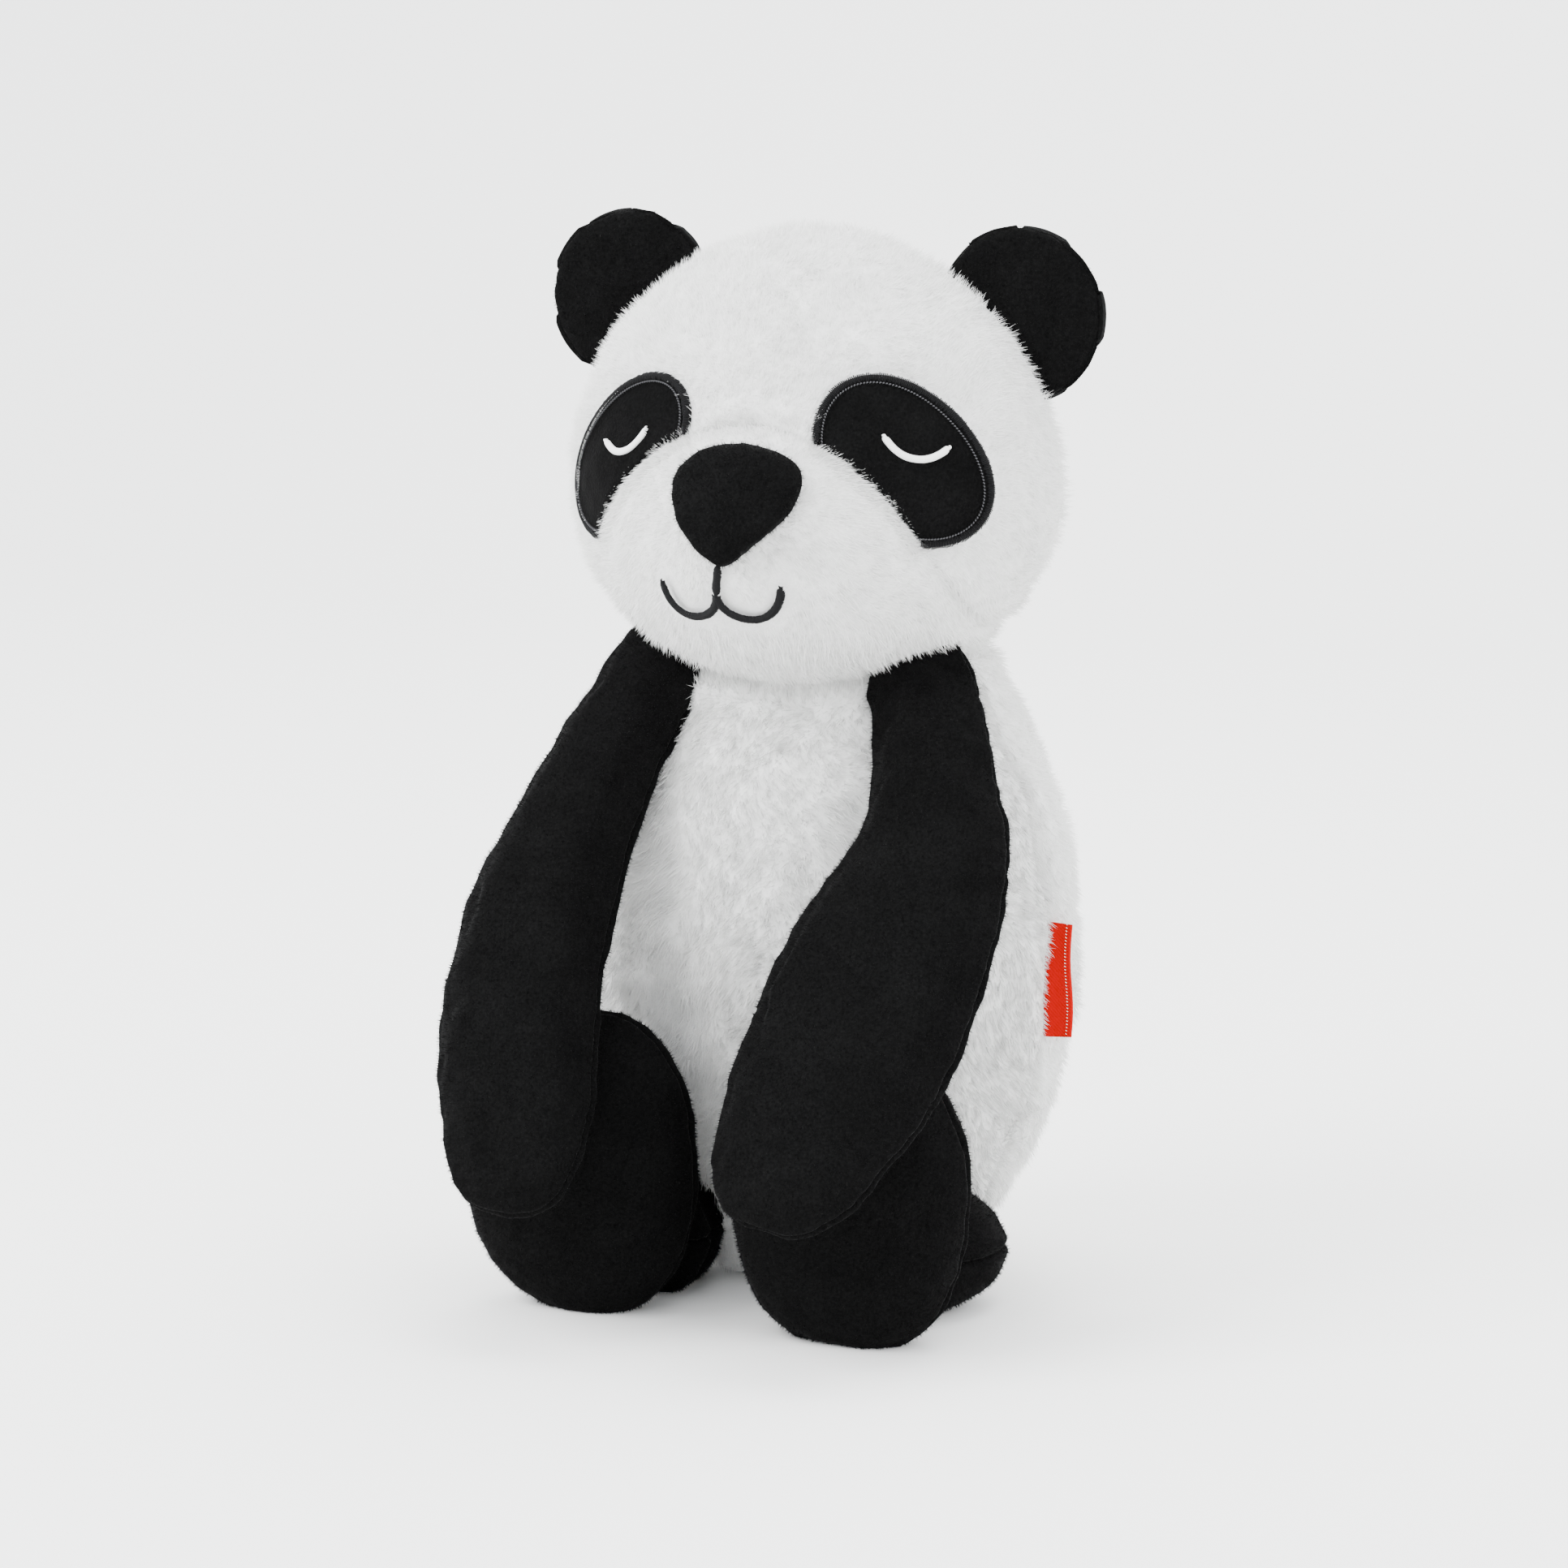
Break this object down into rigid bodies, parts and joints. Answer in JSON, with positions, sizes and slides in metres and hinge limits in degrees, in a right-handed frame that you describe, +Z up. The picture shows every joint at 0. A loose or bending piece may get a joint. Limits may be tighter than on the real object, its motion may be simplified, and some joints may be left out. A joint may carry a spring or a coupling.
{
  "type": "plush panda",
  "caption": "Seated soft toy panda with closed eyes, a padded nose, round ears, long hanging arms, and upright oval feet in front of a pear-shaped body.",
  "frame": {"origin": "On the base panel's underside, on the plane the toy sits on, on its left-right middle.", "axes": "Z is up, minus Y is the way the face looks, plus X is the toy's own left."},
  "size_m": [0.171, 0.1909, 0.3105],
  "materials": {
    "white_fur": "white plush pile on knitted backing",
    "black_velour": "black short-pile velour",
    "black_satin_thread": "black satin-stitched embroidery thread",
    "white_satin_thread": "white embroidery thread",
    "polyester_fill": "polyester fibre filling",
    "pellet_bag_cotton": "cotton bag filled with pellets",
    "woven_label_red": "folded woven ribbon, red"
  },
  "bodies": {
    "body": {"belly_panel": "white_fur", "body_back_left_panel": "white_fur", "body_back_right_panel": "white_fur", "body_stuffing": "polyester_fill", "pellet_bag": "pellet_bag_cotton", "base_panel": "white_fur", "left_thigh_top_panel": "black_velour", "left_thigh_under_panel": "black_velour", "left_thigh_stuffing": "polyester_fill", "left_hip_gather": "black_velour", "right_thigh_top_panel": "black_velour", "right_thigh_under_panel": "black_velour", "right_thigh_stuffing": "polyester_fill", "right_hip_gather": "black_velour"},
    "neck": {"neck_stuffing": "polyester_fill"},
    "head": {"forehead_panel": "white_fur", "muzzle_panel": "white_fur", "head_back_left_panel": "white_fur", "head_back_right_panel": "white_fur", "head_stuffing": "polyester_fill", "nose_cover": "black_velour", "nose_stuffing": "polyester_fill", "mouth_stitch": "black_satin_thread", "left_eye_patch": "black_velour", "left_eye_patch_border": "black_satin_thread", "left_closed_eyelid_stitch": "white_satin_thread", "right_eye_patch": "black_velour", "right_eye_patch_border": "black_satin_thread", "right_closed_eyelid_stitch": "white_satin_thread"},
    "label": {"side_label": "woven_label_red"},
    "left_ear": {"left_ear_front_panel": "black_velour", "left_ear_back_panel": "black_velour", "left_ear_wadding": "polyester_fill"},
    "left_shoulder": {"left_shoulder_gather": "black_velour"},
    "left_arm": {"left_arm_outer_panel": "black_velour", "left_arm_inner_panel": "black_velour", "left_arm_stuffing": "polyester_fill"},
    "left_foot": {"left_foot_sole_panel": "black_velour", "left_foot_upper_panel": "black_velour", "left_foot_stuffing": "polyester_fill"},
    "right_ear": {"right_ear_front_panel": "black_velour", "right_ear_back_panel": "black_velour", "right_ear_wadding": "polyester_fill"},
    "right_shoulder": {"right_shoulder_gather": "black_velour"},
    "right_arm": {"right_arm_outer_panel": "black_velour", "right_arm_inner_panel": "black_velour", "right_arm_stuffing": "polyester_fill"},
    "right_foot": {"right_foot_sole_panel": "black_velour", "right_foot_upper_panel": "black_velour", "right_foot_stuffing": "polyester_fill"}
  },
  "joints": [
    {"name": "head_turn", "type": "hinge", "parent": "body", "child": "neck", "pos_m": [0, 0, 0.1745], "axis": [0, 0, 1], "range_deg": [-20, 20], "stiffness_Nm_per_rad": 0.6},
    {"name": "head_nod", "type": "hinge", "parent": "neck", "child": "head", "pos_m": [0, 0, 0.1745], "axis": [1, 0, 0], "range_deg": [-8, 4], "stiffness_Nm_per_rad": 0.6},
    {"name": "left_arm_swing", "type": "hinge", "parent": "body", "child": "left_shoulder", "pos_m": [0.044, -0.0243, 0.169], "axis": [-1, 0, 0], "range_deg": [0, 25]},
    {"name": "left_arm_lift", "type": "hinge", "parent": "left_shoulder", "child": "left_arm", "pos_m": [0.044, -0.0243, 0.169], "axis": [0, -0.8039, 0.5948], "range_deg": [0, 40]},
    {"name": "left_ear_flop", "type": "hinge", "parent": "head", "child": "left_ear", "pos_m": [0.0551, 0.001, 0.2811], "axis": [0.638, 0, -0.77], "range_deg": [-20, 20], "stiffness_Nm_per_rad": 0.02},
    {"name": "left_foot_twist", "type": "hinge", "parent": "body", "child": "left_foot", "pos_m": [0.039, -0.06, 0.03], "axis": [0, -1, 0], "range_deg": [-12, 12], "stiffness_Nm_per_rad": 0.05},
    {"name": "right_arm_swing", "type": "hinge", "parent": "body", "child": "right_shoulder", "pos_m": [-0.044, -0.0243, 0.169], "axis": [-1, 0, 0], "range_deg": [0, 25]},
    {"name": "right_arm_lift", "type": "hinge", "parent": "right_shoulder", "child": "right_arm", "pos_m": [-0.044, -0.0243, 0.169], "axis": [0, 0.8141, -0.5807], "range_deg": [0, 40]},
    {"name": "right_ear_flop", "type": "hinge", "parent": "head", "child": "right_ear", "pos_m": [-0.0551, 0.001, 0.2811], "axis": [-0.638, 0, -0.77], "range_deg": [-20, 20], "stiffness_Nm_per_rad": 0.02},
    {"name": "right_foot_twist", "type": "hinge", "parent": "body", "child": "right_foot", "pos_m": [-0.0465, -0.053, 0.03], "axis": [0, 1, 0], "range_deg": [-12, 12], "stiffness_Nm_per_rad": 0.05},
    {"name": "label_flap", "type": "hinge", "parent": "body", "child": "label", "pos_m": [0.0712, -0.005, 0.0905], "axis": [0, 0, 1], "range_deg": [-30, 50], "stiffness_Nm_per_rad": 0.0008}
  ]
}
